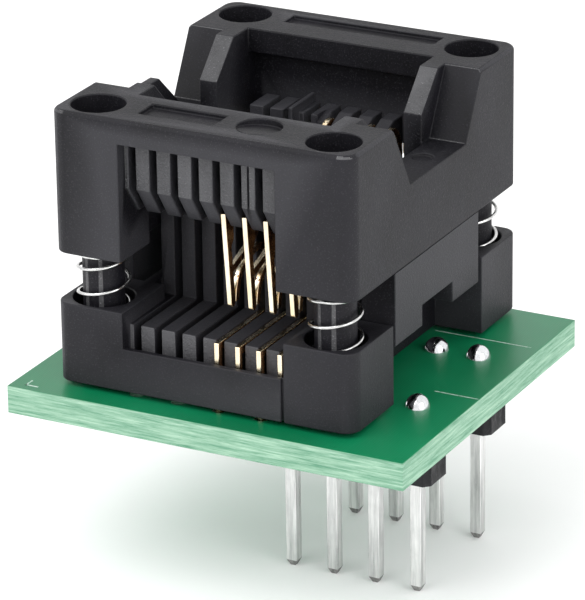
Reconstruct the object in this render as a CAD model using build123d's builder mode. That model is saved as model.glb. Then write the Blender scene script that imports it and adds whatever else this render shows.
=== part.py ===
from build123d import *
import os

os.makedirs("parts", exist_ok=True)

# A chip test socket on a small adapter board that plugs into an eight-pin programmer socket.
# Millimetres, +Z up. The origin is the centre of the pin pattern, on the underside of the
# header strips, which is where the adapter seats on the programmer.

# Header and board
PITCH = 2.54
ROW_SPACING = 7.62
STRIP_WIDTH = 2.54
STRIP_HEIGHT = 2.54
SEGMENT_CHAMFER = 0.35
PIN_SIZE = 0.64
PIN_REACH = 6.8
PIN_PROUD = 0.7
PIN_TAPER = 0.35
SOLDER_RADIUS = 0.7
SOLDER_HEIGHT = 0.8
BOARD_WIDTH = 24.0
BOARD_DEPTH = 22.0
BOARD_THICKNESS = 1.6
BOARD_X = -5.55
BOARD_Y = 0.0
BOARD_TOP = STRIP_HEIGHT + BOARD_THICKNESS
HEADER_HOLE = 1.0
TAIL_HOLE = 0.8

# Socket plan, measured from its own centre
SOCKET_X = -6.15
SOCKET_Y = 0.7
HALF_WIDTH = 9.05
HALF_DEPTH = 10.3
CORNER_RADIUS = 0.9
POST_X = 7.05
POST_Y = 8.35

# Socket base, heights above the board
FOOT_HEIGHT = 0.3
FOOT_RADIUS = 1.35
FLOOR_TOP = 1.4
BLOCK_TOP = 4.85
BLOCK_INNER_X = 4.88
BLOCK_INNER_Y = 5.5
SILL_TOP = 2.77
SILL_THICKNESS = 0.4
GROOVE_WIDTH = 0.18
GROOVE_DEPTH = 0.25
COMB_FACE = 9.4
COMB_TOP = 3.95
WAIST_HALF_WIDTH = 6.15
TOWER_HALF_DEPTH = 4.7
TOWER_FLARE_BOTTOM = 9.4
TOWER_FLARE_TOP = 10.2
TOWER_TOP_HALF_DEPTH = 5.5
TOWER_TOP = 12.5
SEAT_HALF_DEPTH = 3.4
SEAT_STEP = 12.1
SEAT_LIP = 4.4
SEAT_TOP = 11.2
RIDGE_X = -1.27
RIDGE_WIDTH = 0.25
RIDGE_INNER = 2.6
RIDGE_TOP = 13.0
SLOT_INNER = 2.3
WELL_RADIUS = 1.7
WELL_FLOOR = 1.2
POST_RADIUS = 1.15
POST_SPLIT = 0.4
SPLIT_BOTTOM = 8.2
HEAD_RADIUS = 1.4
HEAD_HEIGHT = 1.2
HEAD_TAPER = 12
RELIEF_RADIUS = 0.95
RELIEF_TOP = 1.7

# Contacts
CONTACT_PITCH = 1.27
POSITIONS = 8
SHEET = 0.3
SLOT = 0.43
RIB = CONTACT_PITCH - SLOT
TAIL_OUT = (9.6, 7.9)
TAIL_WIDTH = 0.4
TAIL_REACH = 2.3
PIVOT_OUT = 8.05
PIVOT_UP = 5.65
ROOT_RADIUS = 0.2
FOOT_INNER = 3.45
FOOT_TOP = 3.95
FOOT_THICKNESS = 0.45
TAB_OUT = 9.85
TAB_THICKNESS = 0.3
TAB_BOTTOM = 2.6
ARM_WIDTH = 0.4
BAR_WIDTH = 0.45
BAR_TOP = (8.6, 11.0)
# Centre lines and outline in the plane of a contact: distance out from the middle, height.
ARM_PATH = (
    (3.65, 3.7), (3.65, 6.4), (4.2, 7.5), (5.2, 7.85), (6.4, 7.5),
    (7.1, 7.05), (7.5, 6.3), (7.6, 5.65),
)
PRESS_PATH = (
    (8.35, 7.5), (7.55, 7.75), (6.65, 8.05), (5.4, 8.7), (4.6, 9.9),
    (4.35, 11.4), (3.8, 12.1), (3.1, 12.0), (2.8, 11.55),
)
CAM_NOSE = ((8.5, 8.5), (7.9, 9.3), (7.9, 10.1), (8.37, 11.0), (8.6, 11.0))

# Cover, heights above the board
STROKE = 2.3
COVER_BOTTOM = 7.75
COVER_TOP = 15.9
BEAM_BOTTOM = 14.5
BEAM_INNER = 6.2
PILLAR_INNER_X = 4.88
LIP_X = 4.5
LIP_INNER_Y = 9.65
CAVITY_HALF_DEPTH = 7.0
GUIDE_INNER_X = 5.75
GUIDE_INNER_Y = 2.45
WALL_INNER_X = 6.85
GUIDE_SHOULDER = 4.5
GUIDE_NOSE = 13.85
NOTCH_FLOOR = 12.2
NOTCH_TOP_HALF = 5.4
NOTCH_FLOOR_HALF = 3.4
NOTCH_TAB_TOP = 14.2
NOTCH_TAB_THICKNESS = 0.6
TAB_BASE_HALF = 3.0
TAB_TOP_HALF = 0.8
COMB_OUT = 9.5
RIB_FACE_BOTTOM = 11.8
RIB_SLOPE_OUT = 8.4
RIB_BOTTOM = 10.2
COMB_SLOT_TOP = 14.2
PARTING_X = 2.54
PARTING_GROOVE = 0.08
PARTING_LENGTH = 2.9
CAM_LOW_OUT = 8.03
CAM_LOW = 10.85
CAM_HIGH_OUT = 8.5
CAM_HIGH = 12.45
SKIRT_CLEARANCE = 0.4
SKIRT_BOTTOM = SOLDER_HEIGHT + SKIRT_CLEARANCE + STROKE
SKIRT_INNER_X = 6.95
SKIRT_OUTER_X = 9.0
SKIRT_HALF = 5.2
SKIRT_NOTCH_HALF = 1.87
SKIRT_NOTCH_TOP = 4.7
GUIDE_BORE_RADIUS = 1.23
SHOULDER = 9.25
HEAD_BORE_RADIUS = 1.5
HEAD_GAP = 0.03
PILLAR_EDGE = 0.15
POCKET_DEPTH = 0.25
FRONT_POCKET = (-2.1, -8.05, 4.5, 1.7)
BACK_POCKET = (0.2, 8.68, 9.3, 1.35)
GATE_X = 2.45
GATE_Y = -9.2
GATE_RADIUS = 1.25
GATE_TILT = 8
GATE_EDGE_DEPTH = 0.04
EJECTOR_SPOT = (7.81, 0.6)
EJECTOR_RADIUS = 0.6
EJECTOR_DEPTH = 0.15

# Springs
SPRING_RADIUS = 1.4
WIRE_RADIUS = 0.1
SPRING_PITCH = 1.4
SPRING_SEAT_GAP = 0.02

ROWS = (("front", -1), ("back", 1))
SIDES = (("left", -1), ("right", 1))
deck = Plane(origin=(SOCKET_X, SOCKET_Y, BOARD_TOP))
contact_xs = [CONTACT_PITCH * (i - (POSITIONS - 1) / 2) for i in range(POSITIONS)]
rib_xs = [CONTACT_PITCH * (i - POSITIONS / 2) for i in range(POSITIONS + 1)]
header_spots = [(PITCH * (i - 1.5), side * ROW_SPACING / 2) for _, side in ROWS for i in range(4)]


def tail_out(index):
    """Distance of a contact's tail from the socket's middle plane; neighbours are staggered."""
    return TAIL_OUT[index % 2]


def row_plane(x, side):
    """Upright plane at socket x: local x points outwards from the middle, local y points up."""
    return Plane(origin=(SOCKET_X + x, SOCKET_Y, BOARD_TOP), x_dir=(0, side, 0), z_dir=(side, 0, 0))


def save(solid, label):
    """Label one finished piece and write it out."""
    solid.label = label
    export_step(solid, f"parts/{label}.step")


def build_board():
    """The board, drilled for the header pins and for every contact position."""
    with BuildPart() as board:
        with BuildSketch(Plane.XY.offset(STRIP_HEIGHT)):
            with Locations((BOARD_X, BOARD_Y)):
                Rectangle(BOARD_WIDTH, BOARD_DEPTH)
        extrude(amount=BOARD_THICKNESS)
        with BuildSketch(Plane.XY.offset(STRIP_HEIGHT)):
            with Locations(*header_spots):
                Circle(HEADER_HOLE / 2)
            for _, side in ROWS:
                for i, x in enumerate(contact_xs):
                    with Locations((SOCKET_X + x, SOCKET_Y + side * tail_out(i))):
                        Circle(TAIL_HOLE / 2)
        extrude(amount=BOARD_THICKNESS, mode=Mode.SUBTRACT)
    save(board.part, "circuit_board")


def build_header_strip(row, side):
    """Four moulded segments in a line with clipped corners, each holding one square pin."""
    row_y = side * ROW_SPACING / 2
    half = STRIP_WIDTH / 2
    flat = half - SEGMENT_CHAMFER
    segment_outline = (
        (-half, -flat), (-flat, -half), (flat, -half), (half, -flat),
        (half, flat), (flat, half), (-flat, half), (-half, flat),
    )
    with BuildPart() as strip:
        with BuildSketch():
            with Locations((0, row_y)):
                with GridLocations(PITCH, 0, 4, 1):
                    Polygon(*segment_outline, align=None)
                    Rectangle(PIN_SIZE, PIN_SIZE, mode=Mode.SUBTRACT)
        extrude(amount=STRIP_HEIGHT)
    save(strip.part, f"header_strip_{row}")


def build_header_pin(number, spot):
    """One square pin with a tapered tip, from the plug end to just above the board."""
    with BuildPart() as pin:
        with BuildSketch(Plane.XY.offset(-PIN_REACH)):
            with Locations(spot):
                Rectangle(PIN_SIZE, PIN_SIZE)
        extrude(amount=PIN_REACH + BOARD_TOP + PIN_PROUD)
        tip_edges = pin.faces().sort_by(Axis.Z)[0].edges()
        chamfer(tip_edges, PIN_TAPER, PIN_SIZE / 4)
    save(pin.part, f"header_pin_{number}")


def build_solder(label, spot, base_z, up, hole):
    """A solder fillet: a rounded cone round the end of a pin or tail, on one face of the board."""
    profile_plane = Plane(origin=(*spot, base_z), x_dir=(1, 0, 0), z_dir=(0, -up, 0))
    with BuildPart() as solder:
        with BuildSketch(profile_plane):
            with BuildLine():
                Line((0, SOLDER_HEIGHT), (0, 0))
                Line((0, 0), (SOLDER_RADIUS, 0))
                Spline((SOLDER_RADIUS, 0), (0, SOLDER_HEIGHT), tangents=[(-0.2, 1), (-1, 0)])
            make_face()
        revolve(axis=Axis((*spot, 0), (0, 0, 1)))
        with BuildSketch(Plane.XY.offset(base_z)):
            with Locations(spot):
                Rectangle(*hole)
        extrude(amount=up * PIN_PROUD, mode=Mode.SUBTRACT)
    save(solder.part, label)


def build_socket_base():
    """Corner blocks with spring wells and split posts, low combs and the slotted tower."""
    waist_depth = 2 * BLOCK_INNER_Y + 1
    tower_half_width = rib_xs[-1] + RIB / 2
    wall_thickness = WAIST_HALF_WIDTH - tower_half_width
    head_bottom = SHOULDER + HEAD_GAP
    with BuildPart() as base:
        with BuildSketch(deck):
            with GridLocations(2 * POST_X, 2 * POST_Y, 2, 2):
                Circle(FOOT_RADIUS)
        extrude(amount=FOOT_HEIGHT)

        # floor, corner blocks, front and back sills, and the two end walls
        with BuildSketch(deck.offset(FOOT_HEIGHT)):
            Rectangle(2 * BLOCK_INNER_X, 2 * HALF_DEPTH)
            Rectangle(2 * WAIST_HALF_WIDTH, waist_depth)
        extrude(amount=FLOOR_TOP - FOOT_HEIGHT)
        with BuildSketch(deck.offset(FOOT_HEIGHT)):
            with GridLocations(HALF_WIDTH + BLOCK_INNER_X, HALF_DEPTH + BLOCK_INNER_Y, 2, 2):
                Rectangle(HALF_WIDTH - BLOCK_INNER_X, HALF_DEPTH - BLOCK_INNER_Y)
            RectangleRounded(2 * HALF_WIDTH, 2 * HALF_DEPTH, CORNER_RADIUS, mode=Mode.INTERSECT)
        extrude(amount=BLOCK_TOP - FOOT_HEIGHT)
        with BuildSketch(deck.offset(FOOT_HEIGHT)):
            with GridLocations(0, 2 * HALF_DEPTH - SILL_THICKNESS, 1, 2):
                Rectangle(2 * BLOCK_INNER_X, SILL_THICKNESS)
        extrude(amount=SILL_TOP - FOOT_HEIGHT)
        with BuildSketch(deck.offset(FLOOR_TOP)):
            with GridLocations(WAIST_HALF_WIDTH + tower_half_width, 0, 2, 1):
                Rectangle(wall_thickness, waist_depth)
        extrude(amount=BLOCK_TOP - FLOOR_TOP)

        # a narrow groove where each sill meets the right-hand block
        with BuildSketch(deck.offset(FOOT_HEIGHT)):
            with Locations((BLOCK_INNER_X - GROOVE_WIDTH / 2, 0)):
                with GridLocations(0, 2 * HALF_DEPTH - GROOVE_DEPTH, 1, 2):
                    Rectangle(GROOVE_WIDTH, GROOVE_DEPTH)
        extrude(amount=SILL_TOP - FOOT_HEIGHT, mode=Mode.SUBTRACT)

        # low combs and the tower: ribs with a contact slot between each pair, flared near the top
        with BuildSketch(deck.offset(FLOOR_TOP)):
            with GridLocations(CONTACT_PITCH, 0, POSITIONS + 1, 1):
                Rectangle(RIB, 2 * COMB_FACE)
        extrude(amount=COMB_TOP - FLOOR_TOP)
        with BuildSketch(deck.offset(FLOOR_TOP)):
            with GridLocations(CONTACT_PITCH, 0, POSITIONS + 1, 1):
                Rectangle(RIB, 2 * TOWER_HALF_DEPTH)
        extrude(amount=TOWER_FLARE_BOTTOM - FLOOR_TOP)
        for x in rib_xs[1:-1]:
            with BuildSketch(row_plane(x, 1)):
                Polygon(
                    (-TOWER_HALF_DEPTH, TOWER_FLARE_BOTTOM),
                    (-TOWER_TOP_HALF_DEPTH, TOWER_FLARE_TOP),
                    (-TOWER_TOP_HALF_DEPTH, TOWER_TOP),
                    (TOWER_TOP_HALF_DEPTH, TOWER_TOP),
                    (TOWER_TOP_HALF_DEPTH, TOWER_FLARE_TOP),
                    (TOWER_HALF_DEPTH, TOWER_FLARE_BOTTOM),
                    align=None,
                )
            extrude(amount=RIB / 2, both=True)
        with BuildSketch(deck.offset(FLOOR_TOP)):
            Rectangle(2 * tower_half_width, 2 * SLOT_INNER)
        extrude(amount=SEAT_TOP - FLOOR_TOP)

        # the chip seat: its sides open out upwards where the contacts are fitted
        with BuildSketch(deck.offset(SEAT_TOP)):
            Rectangle(2 * tower_half_width, 2 * SEAT_HALF_DEPTH)
        extrude(amount=TOWER_TOP - SEAT_TOP, mode=Mode.SUBTRACT)
        with BuildSketch(row_plane(0, 1)):
            Polygon(
                (-SEAT_LIP, TOWER_TOP),
                (-SEAT_HALF_DEPTH, SEAT_STEP),
                (SEAT_HALF_DEPTH, SEAT_STEP),
                (SEAT_LIP, TOWER_TOP),
                align=None,
            )
        extrude(amount=tower_half_width, mode=Mode.SUBTRACT)

        # a thin upright ridge on each row, just outside the fitted contacts
        with BuildSketch(deck.offset(SEAT_TOP)):
            with GridLocations(0, TOWER_TOP_HALF_DEPTH + RIDGE_INNER, 1, 2):
                with Locations((RIDGE_X, 0)):
                    Rectangle(RIDGE_WIDTH, TOWER_TOP_HALF_DEPTH - RIDGE_INNER)
        extrude(amount=RIDGE_TOP - SEAT_TOP)

        # spring wells, and a split post with a snap head in each
        with BuildSketch(deck.offset(WELL_FLOOR)):
            with GridLocations(2 * POST_X, 2 * POST_Y, 2, 2):
                Circle(WELL_RADIUS)
        extrude(amount=BLOCK_TOP - WELL_FLOOR, mode=Mode.SUBTRACT)
        with BuildSketch(deck.offset(WELL_FLOOR)):
            with GridLocations(2 * POST_X, 2 * POST_Y, 2, 2):
                Circle(POST_RADIUS)
        extrude(amount=head_bottom - WELL_FLOOR)
        with BuildSketch(deck.offset(head_bottom)):
            with GridLocations(2 * POST_X, 2 * POST_Y, 2, 2):
                Circle(HEAD_RADIUS)
        extrude(amount=HEAD_HEIGHT, taper=HEAD_TAPER)
        with BuildSketch(deck.offset(SPLIT_BOTTOM)):
            with GridLocations(2 * POST_X, 2 * POST_Y, 2, 2):
                Rectangle(POST_SPLIT, 3 * HEAD_RADIUS)
        extrude(amount=head_bottom + HEAD_HEIGHT - SPLIT_BOTTOM, mode=Mode.SUBTRACT)

        # slots for the contact tails, and room for the header solder under the socket
        with BuildSketch(deck.offset(FOOT_HEIGHT)):
            for _, side in ROWS:
                for i, x in enumerate(contact_xs):
                    with Locations((x, side * tail_out(i))):
                        Rectangle(SHEET, TAIL_WIDTH)
        extrude(amount=FLOOR_TOP - FOOT_HEIGHT, mode=Mode.SUBTRACT)
        with BuildSketch(Plane.XY.offset(BOARD_TOP)):
            with Locations(*header_spots):
                Circle(RELIEF_RADIUS)
        extrude(amount=RELIEF_TOP, mode=Mode.SUBTRACT)
    save(base.part, "socket_base")


def build_cover():
    """The sprung cover: corner towers, two bridging beams with cam combs, side walls and skirts."""
    with BuildPart() as cover:
        with BuildSketch(deck.offset(COVER_BOTTOM)):
            RectangleRounded(2 * HALF_WIDTH, 2 * HALF_DEPTH, CORNER_RADIUS)
        extrude(amount=COVER_TOP - COVER_BOTTOM)
        top_rim = cover.faces().sort_by(Axis.Z)[-1].edges()
        chamfer(top_rim, PILLAR_EDGE)

        # the cavity, wide at the middle and narrower between the corner guides
        with BuildSketch(deck.offset(COVER_BOTTOM)):
            Rectangle(2 * GUIDE_INNER_X, 2 * CAVITY_HALF_DEPTH)
            Rectangle(2 * WALL_INNER_X, 2 * GUIDE_INNER_Y)
        extrude(amount=BEAM_BOTTOM - COVER_BOTTOM, mode=Mode.SUBTRACT)
        with BuildSketch(deck.offset(BEAM_BOTTOM)):
            Rectangle(2 * GUIDE_INNER_X, 2 * BEAM_INNER)
            Rectangle(2 * WALL_INNER_X, 2 * GUIDE_INNER_Y)
        extrude(amount=COVER_TOP - BEAM_BOTTOM, mode=Mode.SUBTRACT)

        # sloping tops on the corner guides
        for _, side in ROWS:
            with BuildSketch(row_plane(0, side)):
                Polygon(
                    (GUIDE_SHOULDER, COVER_TOP),
                    (GUIDE_INNER_Y, GUIDE_NOSE),
                    (GUIDE_INNER_Y, COVER_TOP),
                    align=None,
                )
            extrude(amount=WALL_INNER_X, both=True, mode=Mode.SUBTRACT)

        # windows under the beams, leaving a comb that hangs behind each one
        for _, side in ROWS:
            with BuildSketch(row_plane(0, side)):
                Polygon(
                    (HALF_DEPTH, BEAM_BOTTOM),
                    (COMB_OUT, BEAM_BOTTOM),
                    (COMB_OUT, RIB_FACE_BOTTOM),
                    (RIB_SLOPE_OUT, RIB_BOTTOM),
                    (CAVITY_HALF_DEPTH, RIB_BOTTOM),
                    (CAVITY_HALF_DEPTH, COVER_BOTTOM),
                    (HALF_DEPTH, COVER_BOTTOM),
                    align=None,
                )
            extrude(amount=PILLAR_INNER_X, both=True, mode=Mode.SUBTRACT)

        # a lip that widens the right pillar in front of the last contact
        with BuildSketch(deck.offset(COVER_BOTTOM)):
            with GridLocations(0, HALF_DEPTH + LIP_INNER_Y, 1, 2):
                with Locations(((PILLAR_INNER_X + LIP_X) / 2, 0)):
                    Rectangle(PILLAR_INNER_X - LIP_X, HALF_DEPTH - LIP_INNER_Y)
        extrude(amount=BEAM_BOTTOM - COVER_BOTTOM)

        # comb slots: the sloping inner end of each one is the cam that opens a contact
        for _, side in ROWS:
            for x in contact_xs:
                with BuildSketch(row_plane(x, side)):
                    Polygon(
                        (CAVITY_HALF_DEPTH, RIB_BOTTOM),
                        (CAVITY_HALF_DEPTH, CAM_LOW),
                        (CAM_LOW_OUT, CAM_LOW),
                        (CAM_HIGH_OUT, CAM_HIGH),
                        (CAM_HIGH_OUT, COMB_SLOT_TOP),
                        (COMB_OUT, COMB_SLOT_TOP),
                        (COMB_OUT, RIB_BOTTOM),
                        align=None,
                    )
                extrude(amount=SLOT / 2, both=True, mode=Mode.SUBTRACT)

        # a fine parting groove down one rib of the front comb
        with BuildSketch(row_plane(PARTING_X, -1)):
            with Locations((COMB_OUT, BEAM_BOTTOM)):
                Rectangle(2 * PARTING_GROOVE, PARTING_LENGTH, align=(Align.CENTER, Align.MAX))
        extrude(amount=PARTING_GROOVE / 2, both=True, mode=Mode.SUBTRACT)

        # shallow marking pockets in the beams, and a slanting gate recess in the front one
        for x, y, width, depth in (FRONT_POCKET, BACK_POCKET):
            with BuildSketch(deck.offset(COVER_TOP)):
                with Locations((x, y)):
                    Rectangle(width, depth)
            extrude(amount=-POCKET_DEPTH, mode=Mode.SUBTRACT)
        gate_edge = (SOCKET_X + GATE_X, SOCKET_Y + GATE_Y, BOARD_TOP + COVER_TOP - GATE_EDGE_DEPTH)
        gate_plane = Plane(origin=gate_edge).rotated((-GATE_TILT, 0, 0))
        with BuildSketch(gate_plane):
            with Locations((0, GATE_RADIUS)):
                Circle(GATE_RADIUS)
        extrude(amount=2 * POCKET_DEPTH, mode=Mode.SUBTRACT)

        # the finger notch in each side wall, with a small upright tab in the left one
        for wall_x in (WALL_INNER_X, -HALF_WIDTH):
            with BuildSketch(row_plane(wall_x, 1)):
                Polygon(
                    (-NOTCH_TOP_HALF, COVER_TOP),
                    (-NOTCH_FLOOR_HALF, NOTCH_FLOOR),
                    (NOTCH_FLOOR_HALF, NOTCH_FLOOR),
                    (NOTCH_TOP_HALF, COVER_TOP),
                    align=None,
                )
            extrude(amount=HALF_WIDTH - WALL_INNER_X, mode=Mode.SUBTRACT)
        with BuildSketch(row_plane(-HALF_WIDTH, 1)):
            Polygon(
                (-TAB_BASE_HALF, NOTCH_FLOOR),
                (-TAB_TOP_HALF, NOTCH_TAB_TOP),
                (TAB_TOP_HALF, NOTCH_TAB_TOP),
                (TAB_BASE_HALF, NOTCH_FLOOR),
                align=None,
            )
        extrude(amount=NOTCH_TAB_THICKNESS)

        # a round ejector mark on the floor of the right-hand notch
        with BuildSketch(deck.offset(NOTCH_FLOOR)):
            with Locations(EJECTOR_SPOT):
                Circle(EJECTOR_RADIUS)
        extrude(amount=-EJECTOR_DEPTH, mode=Mode.SUBTRACT)

        # skirts that run down between the corner blocks
        with BuildSketch(deck.offset(SKIRT_BOTTOM)):
            with GridLocations(SKIRT_INNER_X + SKIRT_OUTER_X, 0, 2, 1):
                Rectangle(SKIRT_OUTER_X - SKIRT_INNER_X, 2 * SKIRT_HALF)
        extrude(amount=COVER_BOTTOM - SKIRT_BOTTOM)
        with BuildSketch(deck.offset(SKIRT_BOTTOM)):
            Rectangle(2 * SKIRT_OUTER_X, 2 * SKIRT_NOTCH_HALF)
        extrude(amount=SKIRT_NOTCH_TOP - SKIRT_BOTTOM, mode=Mode.SUBTRACT)

        # guide bores with a shoulder for the snap heads
        with BuildSketch(deck.offset(COVER_BOTTOM)):
            with GridLocations(2 * POST_X, 2 * POST_Y, 2, 2):
                Circle(GUIDE_BORE_RADIUS)
        extrude(amount=SHOULDER - COVER_BOTTOM, mode=Mode.SUBTRACT)
        with BuildSketch(deck.offset(SHOULDER)):
            with GridLocations(2 * POST_X, 2 * POST_Y, 2, 2):
                Circle(HEAD_BORE_RADIUS)
        extrude(amount=COVER_TOP - SHOULDER, mode=Mode.SUBTRACT)
    save(cover.part, "cover")


def build_contact_foot(number, index, side):
    """The fixed half of a contact: tail, foot bar, front tab, and the arm that carries the lever."""
    tail = tail_out(index)
    with BuildPart() as foot:
        with BuildSketch(row_plane(contact_xs[index], side)):
            with Locations((tail, (FOOT_TOP - TAIL_REACH) / 2)):
                Rectangle(TAIL_WIDTH, FOOT_TOP + TAIL_REACH)
            with Locations((TAB_OUT, FOOT_TOP)):
                Rectangle(TAB_OUT - FOOT_INNER, FOOT_THICKNESS, align=(Align.MAX, Align.MAX))
            with Locations((TAB_OUT - TAB_THICKNESS / 2, (FOOT_TOP + TAB_BOTTOM) / 2)):
                Rectangle(TAB_THICKNESS, FOOT_TOP - TAB_BOTTOM)
            with BuildLine():
                Spline(*ARM_PATH)
            trace(line_width=ARM_WIDTH)
        extrude(amount=SHEET / 2, both=True)
    save(foot.part, f"contact_foot_{number}")


def build_contact_lever(number, index, side):
    """The moving half of a contact: outer bar, cam nose and the arm that presses on the lead."""
    with BuildPart() as lever:
        with BuildSketch(row_plane(contact_xs[index], side)):
            with Locations((PIVOT_OUT, PIVOT_UP)):
                Circle(ROOT_RADIUS)
            with BuildLine():
                Line((PIVOT_OUT, PIVOT_UP), BAR_TOP)
            trace(line_width=BAR_WIDTH)
            with BuildLine():
                Polyline(*CAM_NOSE, close=True)
            make_face()
            with BuildLine():
                Spline(*PRESS_PATH)
            trace(line_width=ARM_WIDTH)
        extrude(amount=SHEET / 2, both=True)
    save(lever.part, f"contact_lever_{number}")


def build_spring(row, row_side, end, end_side):
    """A compression spring round a post, from the well's floor to the cover's underside."""
    end_gap = WIRE_RADIUS + SPRING_SEAT_GAP
    centre = (SOCKET_X + end_side * POST_X, SOCKET_Y + row_side * POST_Y, BOARD_TOP + WELL_FLOOR + end_gap)
    with BuildPart() as spring:
        with BuildLine() as coil:
            Helix(SPRING_PITCH, COVER_BOTTOM - WELL_FLOOR - 2 * end_gap, SPRING_RADIUS, center=centre)
        with BuildSketch(Plane(origin=coil.line @ 0, z_dir=coil.line % 0)):
            Circle(WIRE_RADIUS)
        sweep(is_frenet=True)
    save(spring.part, f"spring_{row}_{end}")


build_board()
for row, side in ROWS:
    build_header_strip(row, side)
for number, spot in enumerate(header_spots, start=1):
    build_header_pin(number, spot)
    build_solder(f"header_solder_{number}", spot, BOARD_TOP, 1, (PIN_SIZE, PIN_SIZE))

build_socket_base()
build_cover()

number = 0
for row, side in ROWS:
    for index in range(POSITIONS // 2, POSITIONS):
        number += 1
        spot = (SOCKET_X + contact_xs[index], SOCKET_Y + side * tail_out(index))
        build_contact_foot(number, index, side)
        build_contact_lever(number, index, side)
        build_solder(f"contact_solder_{number}", spot, STRIP_HEIGHT, -1, (SHEET, TAIL_WIDTH))
    for end, end_side in SIDES:
        build_spring(row, side, end, end_side)
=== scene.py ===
"""Looks of the chip socket adapter: rounded mouldings, plated contacts, solder, springs, camera and light."""

import math
import random

import bmesh
import bpy
from mathutils import Matrix, Vector


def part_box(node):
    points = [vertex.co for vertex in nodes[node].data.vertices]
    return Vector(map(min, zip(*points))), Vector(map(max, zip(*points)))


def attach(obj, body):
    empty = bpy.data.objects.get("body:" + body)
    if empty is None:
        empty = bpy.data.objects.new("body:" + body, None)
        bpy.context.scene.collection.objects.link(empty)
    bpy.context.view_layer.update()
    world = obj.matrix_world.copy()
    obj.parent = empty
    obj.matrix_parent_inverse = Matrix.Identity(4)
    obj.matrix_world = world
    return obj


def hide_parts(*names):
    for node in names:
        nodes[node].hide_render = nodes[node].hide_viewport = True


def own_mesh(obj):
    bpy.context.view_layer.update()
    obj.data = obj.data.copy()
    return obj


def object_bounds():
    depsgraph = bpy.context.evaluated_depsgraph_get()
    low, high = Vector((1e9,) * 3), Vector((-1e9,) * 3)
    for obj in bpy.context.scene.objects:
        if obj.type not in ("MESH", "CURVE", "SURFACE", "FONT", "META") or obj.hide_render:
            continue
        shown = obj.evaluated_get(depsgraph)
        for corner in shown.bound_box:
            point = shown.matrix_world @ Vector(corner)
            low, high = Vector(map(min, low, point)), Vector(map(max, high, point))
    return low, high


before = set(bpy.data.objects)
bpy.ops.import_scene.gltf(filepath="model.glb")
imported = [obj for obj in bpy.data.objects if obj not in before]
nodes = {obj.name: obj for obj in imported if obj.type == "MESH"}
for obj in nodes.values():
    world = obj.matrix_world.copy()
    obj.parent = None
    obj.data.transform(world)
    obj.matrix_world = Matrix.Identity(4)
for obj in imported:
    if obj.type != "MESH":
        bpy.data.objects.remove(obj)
cad_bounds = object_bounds()

MM = 0.001
ROOT = "socket_and_board"
CONTACTS = range(1, 9)
FRONT_CONTACTS = range(1, 5)
SPRINGS = [f"spring_{row}_{end}" for row in ("front", "back") for end in ("left", "right")]
EDGE_ANGLE = math.radians(35)
CONTACT_PITCH = 1.27 * MM
TRACK_WIDTH = 0.3 * MM
TRACK_DEPTH = 0.03 * MM
LAP_STEP = 0.002 * MM
INK_THICKNESS = 0.012 * MM
PIN_STUB = 0.3 * MM
SOLDER_CAP = 0.7 * MM
SNAP_DEPTH = 0.13 * MM

board_low, board_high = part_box("circuit_board")
cover_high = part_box("cover")[1]
base_low, base_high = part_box("socket_base")
socket_centre = (base_low + base_high) / 2
socket_half = (base_high - base_low) / 2


# ---------------------------------------------------------------- node tree helpers

class Tree:
    """A small wrapper that adds shader nodes and links them in one call."""

    def __init__(self, name):
        self.material = bpy.data.materials.new(name)
        self.material.use_nodes = True
        self.tree = self.material.node_tree
        self.bsdf = self.tree.nodes["Principled BSDF"]
        self.coords = self.add("ShaderNodeTexCoord").outputs["Object"]

    def add(self, kind, inputs=None, **settings):
        node = self.tree.nodes.new(kind)
        for key, value in settings.items():
            setattr(node, key, value)
        for key, value in (inputs or {}).items():
            self.feed(node.inputs[key], value)
        return node

    def feed(self, socket, value):
        if isinstance(value, bpy.types.NodeSocket):
            self.tree.links.new(value, socket)
        else:
            socket.default_value = value

    def geometry(self, output):
        """One output of the geometry node, such as the surface normal."""
        return self.add("ShaderNodeNewGeometry").outputs[output]

    def stretched(self, scale):
        """Object coordinates stretched by a scale on each axis."""
        return self.add("ShaderNodeMapping", {"Vector": self.coords, "Scale": scale}).outputs["Vector"]

    def noise(self, per_mm, detail=4.0, roughness=0.55, stretch=(1, 1, 1)):
        vector = self.stretched(stretch)
        inputs = {"Vector": vector, "Scale": per_mm / MM, "Detail": detail, "Roughness": roughness}
        return self.add("ShaderNodeTexNoise", inputs).outputs["Fac"]

    def ramp(self, fac, *stops):
        node = self.add("ShaderNodeValToRGB", {"Fac": fac})
        elements = node.color_ramp.elements
        while len(elements) < len(stops):
            elements.new(0.5)
        for element, (position, value) in zip(elements, stops):
            element.position = position
            element.color = value if isinstance(value, tuple) else (value, value, value, 1)
        return node.outputs["Color"]

    def mix(self, fac, a, b, blend="MIX"):
        node = self.add("ShaderNodeMix", data_type="RGBA", blend_type=blend)
        self.feed(node.inputs[0], fac)
        self.feed(node.inputs[6], a)
        self.feed(node.inputs[7], b)
        return node.outputs[2]

    def math(self, operation, a, b=0.0):
        node = self.add("ShaderNodeMath", operation=operation)
        self.feed(node.inputs[0], a)
        self.feed(node.inputs[1], b)
        return node.outputs[0]

    def bump(self, height, strength, depth_mm):
        inputs = {"Height": height, "Strength": strength, "Distance": depth_mm * MM}
        return self.add("ShaderNodeBump", inputs).outputs["Normal"]

    def set(self, **values):
        for key, value in values.items():
            self.feed(self.bsdf.inputs[key.replace("_", " ")], value)
        return self.material


def rgb(r, g, b):
    return (r, g, b, 1.0)


# ---------------------------------------------------------------- materials

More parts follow.
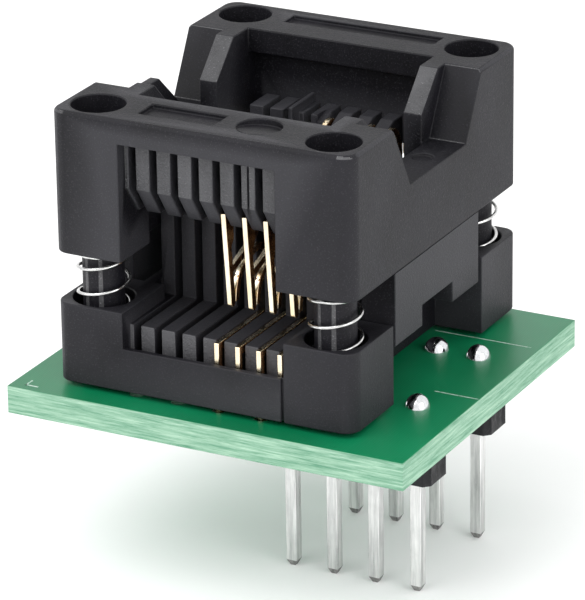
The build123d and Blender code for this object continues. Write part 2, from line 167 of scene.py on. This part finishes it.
def moulded_plastic(name, dark, light, fleck, grain, roughness, grain_depth, gloss):
    """Black glass-filled plastic: eroded grain, pale flecks, faint flow marks, and paler sharp edges that are
    partly rubbed wear and partly a painted highlight.
    """
    t = Tree(name)
    flow = t.noise(0.35, detail=3, stretch=(1, 1, 0.45))
    fine = t.noise(grain, detail=2, roughness=0.7)
    speck = t.ramp(t.noise(grain * 1.7, detail=1), (0.60, 0.0), (0.74, 1.0))
    tone = t.mix(t.ramp(flow, (0.3, 0.0), (0.72, 1.0)), dark, light)
    tone = t.mix(t.math("MULTIPLY", t.ramp(fine, (0.38, 0.0), (0.68, 1.0)), 0.55), tone, light)
    tone = t.mix(t.math("MULTIPLY", speck, 0.5), tone, fleck)
    # Sharp outer edges are painted paler: partly rubbed wear, partly a painted highlight along the edges.
    edge_wear_and_highlight = t.ramp(t.geometry("Pointiness"), (0.515, 0.0), (0.60, 1.0))
    tone = t.mix(t.math("MULTIPLY", edge_wear_and_highlight, 0.4), tone, rgb(0.07, 0.07, 0.078))
    rough = t.math("ADD", t.math("MULTIPLY", fine, 0.22), roughness - 0.11)
    normal = t.bump(t.math("ADD", fine, t.math("MULTIPLY", speck, 0.6)), 0.9, grain_depth)
    return t.set(Base_Color=tone, Roughness=rough, Normal=normal, Specular_IOR_Level=gloss)


def solder_mask():
    """The board: satin green mask over a faint weave on its faces, fibrous green laminate on its edges."""
    t = Tree("board_mask_and_laminate")
    normal_z = t.add("ShaderNodeSeparateXYZ", {0: t.geometry("Normal")}).outputs[2]
    face = t.ramp(t.math("ABSOLUTE", normal_z), (0.45, 0.0), (0.6, 1.0))
    cloud = t.noise(0.16, detail=3)
    threads = {"Vector": t.coords, "Scale": 2.2 / MM, "Distortion": 1.2}
    weave_x = t.add("ShaderNodeTexWave", threads, bands_direction="X")
    weave_y = t.add("ShaderNodeTexWave", threads, bands_direction="Y")
    weave = t.math("MULTIPLY", weave_x.outputs["Fac"], weave_y.outputs["Fac"])
    mask = t.mix(t.ramp(cloud, (0.3, 0.0), (0.7, 1.0)), rgb(0.0, 0.150, 0.055), rgb(0.003, 0.205, 0.082))
    mask = t.mix(t.math("MULTIPLY", weave, 0.22), mask, rgb(0.010, 0.26, 0.11))
    scuff = t.ramp(t.noise(1.1, detail=6, roughness=0.8, stretch=(1, 0.15, 1)), (0.70, 0.0), (0.78, 1.0))
    mask = t.mix(t.math("MULTIPLY", scuff, 0.18), mask, rgb(0.16, 0.45, 0.30))
    layers = t.noise(1.0, detail=5, roughness=0.75, stretch=(0.35, 0.35, 7.0))
    fibre = t.noise(3.0, detail=3, roughness=0.8, stretch=(1, 1, 3.5))
    edge = t.mix(t.ramp(layers, (0.32, 0.0), (0.66, 1.0)), rgb(0.07, 0.24, 0.14), rgb(0.36, 0.56, 0.42))
    edge = t.mix(t.math("MULTIPLY", t.ramp(fibre, (0.60, 0.0), (0.76, 1.0)), 0.55), edge, rgb(0.06, 0.16, 0.10))
    colour = t.mix(face, edge, mask)
    rough = t.mix(face, rgb(0.75, 0.75, 0.75), rgb(0.36, 0.36, 0.36))
    height = t.mix(face, layers, t.math("MULTIPLY", weave, 0.25))
    normal = t.bump(height, 0.5, 0.03)
    return t.set(Base_Color=colour, Roughness=rough, Normal=normal, Coat_Weight=0.06, Coat_Roughness=0.2)


def plated(name, light, dark, roughness, stretch, streak_per_mm, depth_mm=0.004):
    """A plated metal with soft drawn streaks, a little tarnish and tiny scratches."""
    t = Tree(name)
    streaks = t.noise(streak_per_mm, detail=5, roughness=0.7, stretch=stretch)
    tarnish = t.noise(0.9, detail=3)
    colour = t.mix(t.ramp(streaks, (0.35, 0.0), (0.65, 1.0)), dark, light)
    colour = t.mix(t.math("MULTIPLY", t.ramp(tarnish, (0.50, 0.0), (0.75, 1.0)), 0.5), colour, dark)
    rough = t.math("ADD", t.math("MULTIPLY", streaks, 0.2), roughness - 0.1)
    return t.set(Base_Color=colour, Metallic=1.0, Roughness=rough, Normal=t.bump(streaks, 0.35, depth_mm))


def stamped_gold():
    """Gold-plated bronze sheet with drawn streaks: pale lit gold on the edges, and painted shade, a deeper
    reddish brown, on the flanks that face sideways.
    """
    t = Tree("gold_plate")
    # Flanks facing along X are painted a deeper reddish brown as painted shade (the side tone below); the other
    # faces keep the pale lit gold.
    normal_x = t.add("ShaderNodeSeparateXYZ", {0: t.geometry("Normal")}).outputs[0]
    shaded_flank = t.ramp(t.math("ABSOLUTE", normal_x), (0.55, 0.0), (0.85, 1.0))
    streaks = t.noise(3.0, detail=5, roughness=0.7, stretch=(1, 0.4, 0.15))
    edge = t.mix(t.ramp(streaks, (0.35, 0.0), (0.65, 1.0)), rgb(0.86, 0.70, 0.46), rgb(1.0, 0.93, 0.74))
    side = t.mix(t.ramp(streaks, (0.35, 0.0), (0.65, 1.0)), rgb(0.38, 0.15, 0.05), rgb(0.78, 0.45, 0.20))
    colour = t.mix(shaded_flank, edge, side)
    rough = t.math("ADD", t.math("MULTIPLY", streaks, 0.2), 0.16)
    return t.set(Base_Color=colour, Metallic=1.0, Roughness=rough, Normal=t.bump(streaks, 0.35, 0.004))


def silk_ink():
    """Pale legend ink, broken where it thins out."""
    t = Tree("silk_ink")
    broken = t.noise(7, detail=4, roughness=0.7)
    colour = t.mix(t.ramp(broken, (0.35, 0.0), (0.6, 1.0)), rgb(0.20, 0.42, 0.30), rgb(0.62, 0.70, 0.65))
    return t.set(Base_Color=colour, Roughness=0.6, Normal=t.bump(broken, 0.4, 0.006))


def masked_copper():
    """A track seen through the solder mask: a lighter green than the bare board."""
    t = Tree("masked_copper")
    cloud = t.noise(0.8, detail=3)
    colour = t.mix(cloud, rgb(0.010, 0.26, 0.11), rgb(0.020, 0.36, 0.17))
    return t.set(Base_Color=colour, Roughness=0.28, Normal=t.bump(cloud, 0.3, 0.01), Coat_Weight=0.15)


def backdrop_paint():
    """Pale, very slightly mottled paper."""
    t = Tree("studio_paper")
    fibre = t.noise(0.2, detail=4)
    colour = t.mix(fibre, rgb(0.93, 0.93, 0.93), rgb(0.96, 0.96, 0.96))
    return t.set(Base_Color=colour, Roughness=0.9)


SOCKET_BLACK = moulded_plastic(
    "socket_plastic",
    dark=rgb(0.002, 0.002, 0.003),
    light=rgb(0.009, 0.0085, 0.012),
    fleck=rgb(0.045, 0.044, 0.052),
    grain=7.0,
    roughness=0.52,
    grain_depth=0.022,
    gloss=0.21,
)
ROUGH_BLACK = moulded_plastic(
    "eroded_plastic",
    dark=rgb(0.004, 0.004, 0.005),
    light=rgb(0.085, 0.085, 0.09),
    fleck=rgb(0.30, 0.30, 0.31),
    grain=6.5,
    roughness=0.55,
    grain_depth=0.060,
    gloss=0.45,
)
STRIP_BLACK = moulded_plastic(
    "strip_plastic",
    dark=rgb(0.002, 0.002, 0.0025),
    light=rgb(0.007, 0.007, 0.009),
    fleck=rgb(0.03, 0.03, 0.034),
    grain=5.0,
    roughness=0.42,
    grain_depth=0.012,
    gloss=0.22,
)
BOARD = solder_mask()
TIN = plated("tinned_pin", rgb(0.86, 0.86, 0.85), rgb(0.52, 0.52, 0.52), 0.30, (1, 1, 0.06), 3.5)
SHEARED = plated("sheared_pin_tip", rgb(0.42, 0.41, 0.40), rgb(0.16, 0.16, 0.16), 0.45, (1, 1, 0.3), 5.0)
GOLD = stamped_gold()
SOLDER = plated("solder", rgb(0.88, 0.89, 0.90), rgb(0.62, 0.63, 0.64), 0.13, (1, 1, 1), 1.6, 0.012)
STEEL = plated("spring_wire", rgb(0.86, 0.86, 0.85), rgb(0.45, 0.45, 0.45), 0.22, (0.3, 0.3, 1), 6.0, 0.002)
INK = silk_ink()
MASKED_COPPER = masked_copper()


# ---------------------------------------------------------------- mesh helpers

def add_piece(name, mesh, body, materials, replaced=()):
    """Link a finished mesh, ride it on its body and hide the CAD nodes it replaces."""
    piece = bpy.data.objects.new(name, mesh)
    bpy.context.scene.collection.objects.link(piece)
    mesh.materials.clear()
    for material in materials:
        mesh.materials.append(material)
    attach(piece, body)
    if replaced:
        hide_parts(*replaced)
    return piece


def welded_copy(node):
    """A clean bmesh of a CAD node: doubled points joined and flat faces merged."""
    bm = bmesh.new()
    bm.from_mesh(nodes[node].data)
    bmesh.ops.remove_doubles(bm, verts=bm.verts, dist=0.0005 * MM)
    bmesh.ops.dissolve_limit(bm, angle_limit=math.radians(0.6), verts=bm.verts, edges=bm.edges)
    return bm


def roughen_end(bm, rng):
    """Break up the +X end of a header strip, where it was snapped off a longer one."""
    end = max(v.co.x for v in bm.verts)
    faces = [f for f in bm.faces if f.normal.x > 0.99 and f.calc_center_median().x > end - 0.01 * MM]
    edges = list({e for f in faces for e in f.edges})
    bmesh.ops.subdivide_edges(bm, edges=edges, cuts=7, use_grid_fill=True)
    for v in bm.verts:
        if v.co.x > end - 0.001 * MM and all(f.normal.x > 0.99 for f in v.link_faces):
            v.co.x -= rng.uniform(0.0, 1.0) * SNAP_DEPTH


def rounded_copy(node, width_mm, prepare=None):
    """A copy of a CAD node with its sharp edges rounded over, as a mesh."""
    bm = welded_copy(node)
    if prepare:
        prepare(bm)
    mesh = bpy.data.meshes.new(f"{node}_rounded")
    bm.to_mesh(mesh)
    bm.free()
    mesh.shade_smooth()
    mesh.set_sharp_from_angle(angle=EDGE_ANGLE)
    temp = bpy.data.objects.new(f"{node}_temp", mesh)
    bpy.context.scene.collection.objects.link(temp)
    bevel = temp.modifiers.new("bevel", "BEVEL")
    bevel.width = width_mm * MM
    bevel.segments = 2
    bevel.limit_method = "ANGLE"
    bevel.angle_limit = EDGE_ANGLE
    bevel.use_clamp_overlap = False
    weighted = temp.modifiers.new("weighted", "WEIGHTED_NORMAL")
    weighted.weight = 100
    weighted.keep_sharp = True
    depsgraph = bpy.context.evaluated_depsgraph_get()
    result = bpy.data.meshes.new_from_object(temp.evaluated_get(depsgraph))
    bpy.data.objects.remove(temp)
    low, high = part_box(node)
    for vertex in result.vertices:
        vertex.co = [min(max(c, a), b) for c, a, b in zip(vertex.co, low, high)]
    return result


def lathe(name, profile, steps, centre, up, wobble, rng):
    """Turn a profile of (radius, height) pairs round an upright axis, with a little seeded unevenness."""
    bm = bmesh.new()
    phases = [rng.uniform(0, math.tau) for _ in range(3)]
    rings = []
    for radius, height in profile:
        if radius == 0:
            rings.append([bm.verts.new(centre + Vector((0, 0, up * height)))])
            continue
        ring = []
        for i in range(steps):
            a = math.tau * i / steps
            uneven = sum(math.sin((k + 2) * a + phases[k]) for k in range(3)) / 3
            r = radius * (1 + wobble * uneven)
            ring.append(bm.verts.new(centre + Vector((r * math.cos(a), r * math.sin(a), up * height))))
        rings.append(ring)
    for lower, upper in zip(rings, rings[1:]):
        for i in range(steps):
            j = (i + 1) % steps
            if len(lower) == 1:
                bm.faces.new((lower[0], upper[j], upper[i]))
            elif len(upper) == 1:
                bm.faces.new((lower[i], lower[j], upper[0]))
            else:
                bm.faces.new((lower[i], lower[j], upper[j], upper[i]))
    bmesh.ops.recalc_face_normals(bm, faces=bm.faces)
    mesh = bpy.data.meshes.new(name)
    bm.to_mesh(mesh)
    bm.free()
    mesh.shade_smooth()
    return mesh


def tube(name, points, radius, sides=12):
    """A round wire along a list of points, closed at both ends by small cones."""
    bm = bmesh.new()
    rings = []
    count = len(points)
    for k, point in enumerate(points):
        ahead = points[min(k + 1, count - 1)] - points[max(k - 1, 0)]
        side = ahead.cross(Vector((0, 0, 1))).normalized()
        top = side.cross(ahead).normalized()
        ring = []
        for i in range(sides):
            a = math.tau * i / sides
            ring.append(bm.verts.new(point + radius * (math.cos(a) * side + math.sin(a) * top)))
        rings.append(ring)
    for lower, upper in zip(rings, rings[1:]):
        for i in range(sides):
            j = (i + 1) % sides
            bm.faces.new((lower[i], lower[j], upper[j], upper[i]))
    for ring, inner in ((rings[0], points[1]), (rings[-1], points[-2])):
        centre = sum((v.co for v in ring), Vector()) / sides
        tip = bm.verts.new(centre + (centre - inner).normalized() * radius * 0.6)
        for i in range(sides):
            bm.faces.new((ring[i], ring[(i + 1) % sides], tip))
    bmesh.ops.recalc_face_normals(bm, faces=bm.faces)
    mesh = bpy.data.meshes.new(name)
    bm.to_mesh(mesh)
    bm.free()
    mesh.shade_smooth()
    return mesh


def middle(node):
    """The centre of a CAD node's box."""
    low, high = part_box(node)
    return (low + high) / 2


# ---------------------------------------------------------------- mouldings

def build_moulding(node, body, width_mm, materials, rough_test=None, prepare=None):
    """A rounded copy of a moulded part; rough_test picks the faces that carry the coarse eroded grain."""
    mesh = rounded_copy(node, width_mm, prepare=prepare)
    add_piece(f"{node}_shell", mesh, body, materials, (node,))
    if rough_test:
        for polygon in mesh.polygons:
            polygon.material_index = 1 if rough_test(polygon.center, polygon.normal) else 0


def eroded_on_cover(centre, normal):
    """The sloping tops of the corner guides and the outer faces of the hanging comb."""
    out = abs(centre.y - socket_centre.y)
    across = abs(centre.x - socket_centre.x)
    slope = normal.z > 0.5 and abs(normal.y) > 0.5 and across > 5 * MM
    comb = abs(normal.y) > 0.9 and abs(socket_half.y - 0.8 * MM - out) < 0.05 * MM
    return slope or (comb and across < 5 * MM and centre.z > cover_high.z - 4.3 * MM)


def eroded_on_base(centre, normal):
    """The outer faces of the low combs."""
    out = abs(centre.y - socket_centre.y)
    return abs(normal.y) > 0.9 and abs(socket_half.y - 0.9 * MM - out) < 0.05 * MM


build_moulding("cover", "cover", 0.07, (SOCKET_BLACK, ROUGH_BLACK), eroded_on_cover)
build_moulding("socket_base", ROOT, 0.06, (SOCKET_BLACK, ROUGH_BLACK), eroded_on_base)
snap_rng = random.Random(5)


def snap_off(bm):
    """Break the strip's end with the next draws of the shared generator."""
    roughen_end(bm, snap_rng)


for row in ("front", "back"):
    build_moulding(f"header_strip_{row}", ROOT, 0.05, (STRIP_BLACK,), prepare=snap_off)
build_moulding("circuit_board", ROOT, 0.03, (BOARD,))


# ---------------------------------------------------------------- metal parts

for i in CONTACTS:
    lever_body = "front_contacts" if i in FRONT_CONTACTS else "back_contacts"
    lever = rounded_copy(f"contact_lever_{i}", 0.04)
    add_piece(f"contact_blade_{i}", lever, lever_body, (GOLD,), (f"contact_lever_{i}",))
    foot = rounded_copy(f"contact_foot_{i}", 0.04)
    add_piece(f"contact_root_{i}", foot, ROOT, (GOLD,), (f"contact_foot_{i}",))
    pin = rounded_copy(f"header_pin_{i}", 0.025)
    for vertex in pin.vertices:
        vertex.co.z = min(vertex.co.z, board_high.z + PIN_STUB)
    add_piece(f"plug_pin_{i}", pin, ROOT, (TIN, SHEARED), (f"header_pin_{i}",))
    for polygon in pin.polygons:
        polygon.material_index = 1 if polygon.normal.z < -0.3 else 0


def solder_profile(radius, height):
    """A wetted skirt that rises into a plump rounded cap."""
    return [
        (radius, 0),
        (radius * 0.99, height * 0.06),
        (radius * 0.95, height * 0.20),
        (radius * 0.90, height * 0.36),
        (radius * 0.82, height * 0.52),
        (radius * 0.70, height * 0.67),
        (radius * 0.55, height * 0.80),
        (radius * 0.38, height * 0.90),
        (radius * 0.19, height * 0.97),
        (0, height),
    ]


rng = random.Random(11)
for i in CONTACTS:
    for kind, up in (("header", 1), ("contact", -1)):
        node = f"{kind}_solder_{i}"
        low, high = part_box(node)
        centre = middle(node)
        centre.z = low.z if up > 0 else high.z
        profile = solder_profile((high.x - low.x) / 2, min(high.z - low.z, SOLDER_CAP))
        mesh = lathe(node, profile, 28, centre, up, 0.03, rng)
        add_piece(f"{kind}_joint_{i}", mesh, ROOT, (SOLDER,), (node,))


# ---------------------------------------------------------------- board trim

def strip_between(bm, start, end, width, bottom, top):
    """A flat bar between two points on the board."""
    along = (end - start).normalized()
    side = Vector((-along.y, along.x, 0)) * width / 2
    start = start - along * width / 2
    end = end + along * width / 2
    ring = [start - side, end - side, end + side, start + side]
    low = [bm.verts.new((p.x, p.y, bottom)) for p in ring]
    high = [bm.verts.new((p.x, p.y, top)) for p in ring]
    bm.faces.new(list(reversed(low)))
    bm.faces.new(high)
    for i in range(4):
        j = (i + 1) % 4
        bm.faces.new((low[i], low[j], high[j], high[i]))


def finish_flat(name, bm, material):
    """Turn a bmesh of board trim into a piece that rides on the board."""
    bmesh.ops.recalc_face_normals(bm, faces=bm.faces)
    mesh = bpy.data.meshes.new(name)
    bm.to_mesh(mesh)
    bm.free()
    add_piece(name, mesh, ROOT, (material,))


def build_legend():
    """Thin printed lines on the top of the board, beside the socket."""
    right, front = board_high.x, board_low.y
    level = board_high.z
    lines = (
        ((right - 6.35 * MM, front + 17.2 * MM), (right - 0.55 * MM, front + 17.2 * MM), 0.07),
        ((right - 2.65 * MM, front + 9.4 * MM), (right - 0.1 * MM, front + 9.4 * MM), 0.06),
        ((board_low.x + 0.9 * MM, front + 0.55 * MM), (board_low.x + 1.6 * MM, front + 0.55 * MM), 0.10),
        ((board_low.x + 0.9 * MM, front + 0.55 * MM), (board_low.x + 0.9 * MM, front + 1.15 * MM), 0.10),
    )
    bm = bmesh.new()
    for start, end, width in lines:
        strip_between(bm, Vector((*start, 0)), Vector((*end, 0)), width * MM, level, level + INK_THICKNESS)
    finish_flat("printed_lines", bm, INK)


def build_rings():
    """Tinned rings round the contact holes, on the underside, at all sixteen positions."""
    level = board_low.z
    inner, outer, thick, steps = 0.41 * MM, 0.62 * MM, 0.03 * MM, 32
    bm = bmesh.new()
    section = ((inner, level), (inner, level - thick), (outer, level - thick), (outer, level))
    for i in CONTACTS:
        centre = middle(f"contact_solder_{i}")
        for shift in (0, -4 * CONTACT_PITCH):
            rings = []
            for radius, z in section:
                ring = []
                for k in range(steps):
                    a = math.tau * k / steps
                    x = centre.x + shift + radius * math.cos(a)
                    ring.append(bm.verts.new((x, centre.y + radius * math.sin(a), z)))
                rings.append(ring)
            for a, b in zip(rings, rings[1:] + rings[:1]):
                for k in range(steps):
                    m = (k + 1) % steps
                    bm.faces.new((a[k], a[m], b[m], b[k]))
    finish_flat("pad_rings", bm, SOLDER)


def build_tracks():
    """Copper tracks under the mask, from four of the contacts to the plug pins, on the underside."""
    level = board_low.z
    bm = bmesh.new()
    for contact, pin in ((1, 1), (3, 3), (5, 5), (7, 7)):
        start = middle(f"contact_solder_{contact}")
        end = middle(f"header_pin_{pin}")
        start.z = end.z = 0
        inward = 1 if end.y > start.y else -1
        run = abs(end.x - start.x)
        lead = abs(end.y - start.y) - run
        if lead > 0:
            bend = Vector((start.x, start.y + inward * lead, 0))
        else:
            bend = Vector((end.x - (run + lead), start.y, 0))
        strip_between(bm, start, bend, TRACK_WIDTH, level - TRACK_DEPTH, level)
        strip_between(bm, bend, end, TRACK_WIDTH, level - TRACK_DEPTH - LAP_STEP, level)
    finish_flat("masked_tracks", bm, MASKED_COPPER)


build_legend()
build_rings()
build_tracks()


# ---------------------------------------------------------------- springs

def coil_points(node, wire, turns, phase):
    """A compression spring's centre line: closed end turns and an even open middle."""
    low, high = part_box(node)
    centre = middle(node)
    radius = (high.x - low.x) / 2 - wire
    bottom = low.z + wire
    top = high.z - wire
    steps = 44 * turns
    points = []
    for k in range(steps + 1):
        turn = turns * k / steps
        from_end = min(turn, turns - turn)
        closed = 2.3 * wire * min(from_end, 1)
        open_part = max(turn - 1, 0) if turn < turns - 1 else turns - 2
        share = open_part / (turns - 2)
        rise = closed if turn < turns / 2 else (top - bottom) - closed
        z = bottom + 2.3 * wire + share * (top - bottom - 4.6 * wire)
        z = bottom + rise if from_end < 1 else z
        a = phase + math.tau * turn
        points.append(Vector((centre.x + radius * math.cos(a), centre.y + radius * math.sin(a), z)))
    return points


COIL_STARTS = (0.8, -1.63, 3.4, 4.7)
COIL_TURNS = 6
WIRE_RADIUS = 0.1 * MM

for start, node in zip(COIL_STARTS, SPRINGS):
    low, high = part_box(node)
    mesh = tube(node, coil_points(node, WIRE_RADIUS, COIL_TURNS, start), WIRE_RADIUS)
    spring = add_piece(f"{node}_coil", mesh, ROOT, (STEEL,), (node,))
    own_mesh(spring)


# ---------------------------------------------------------------- studio

def aim(obj, target, roll=0.0):
    """Point an object's -Z axis at a target, keeping its local Y upwards, then roll it."""
    direction = (target - obj.location).normalized()
    rotation = direction.to_track_quat("-Z", "Y").to_matrix()
    obj.rotation_euler = (rotation @ Matrix.Rotation(roll, 3, "Z")).to_euler()


def add_camera():
    """A long lens that looks down at the front right corner, as in the photo."""
    azimuth = math.radians(27.749)
    elevation = math.radians(21.985)
    board_centre = (board_low + board_high) / 2
    target = Vector((board_centre.x + 1.23 * MM, board_centre.y - 2.61 * MM, board_high.z + 4.28 * MM))
    back = Vector((
        math.sin(azimuth) * math.cos(elevation),
        -math.cos(azimuth) * math.cos(elevation),
        math.sin(elevation),
    ))
    data = bpy.data.cameras.new("camera")
    data.lens = 269.4
    data.sensor_width = 36
    data.clip_start = 0.01
    data.clip_end = 10
    camera = bpy.data.objects.new("camera", data)
    bpy.context.scene.collection.objects.link(camera)
    camera.location = target + back * 0.2442
    aim(camera, target, math.radians(-0.81))
    bpy.context.scene.camera = camera


LIGHT_TARGET = Vector((-6, 1, 10)) * MM


def add_area_light(name, location_mm, size_mm, power):
    """A soft rectangular light aimed at the socket."""
    data = bpy.data.lights.new(name, "AREA")
    data.shape = "RECTANGLE"
    data.size, data.size_y = (s * MM for s in size_mm)
    data.energy = power
    light = bpy.data.objects.new(name, data)
    bpy.context.scene.collection.objects.link(light)
    light.location = Vector(location_mm) * MM
    aim(light, LIGHT_TARGET)


def add_floor(level):
    """A wide pale sheet under the pin tips that curves up behind the object."""
    half, bend, steps = 0.6, 0.25, 16
    bm = bmesh.new()
    profile = [(-half, 0.0), (half * 0.5, 0.0)]
    for k in range(1, steps + 1):
        a = math.pi / 2 * k / steps
        profile.append((half * 0.5 + bend * math.sin(a), bend * (1 - math.cos(a))))
    profile.append((half * 0.5 + bend, 1.0))
    rows = [[bm.verts.new((x, y, level + z)) for x in (-half, half)] for y, z in profile]
    for a, b in zip(rows, rows[1:]):
        bm.faces.new((a[0], a[1], b[1], b[0]))
    mesh = bpy.data.meshes.new("floor")
    bm.to_mesh(mesh)
    bm.free()
    mesh.shade_smooth()
    mesh.materials.append(backdrop_paint())
    floor = bpy.data.objects.new("floor", mesh)
    bpy.context.scene.collection.objects.link(floor)


def add_world():
    """Even white surroundings."""
    world = bpy.data.worlds.new("studio")
    world.use_nodes = True
    background = world.node_tree.nodes["Background"]
    background.inputs["Color"].default_value = (1, 1, 1, 1)
    background.inputs["Strength"].default_value = 1.15
    bpy.context.scene.world = world


add_camera()
add_world()
add_floor(cad_bounds[0][2])
add_area_light("key", (-90, -120, 170), (200, 200), 0.24)
add_area_light("fill", (160, -60, 80), (120, 120), 0.10)
bpy.context.scene.view_settings.view_transform = "Standard"
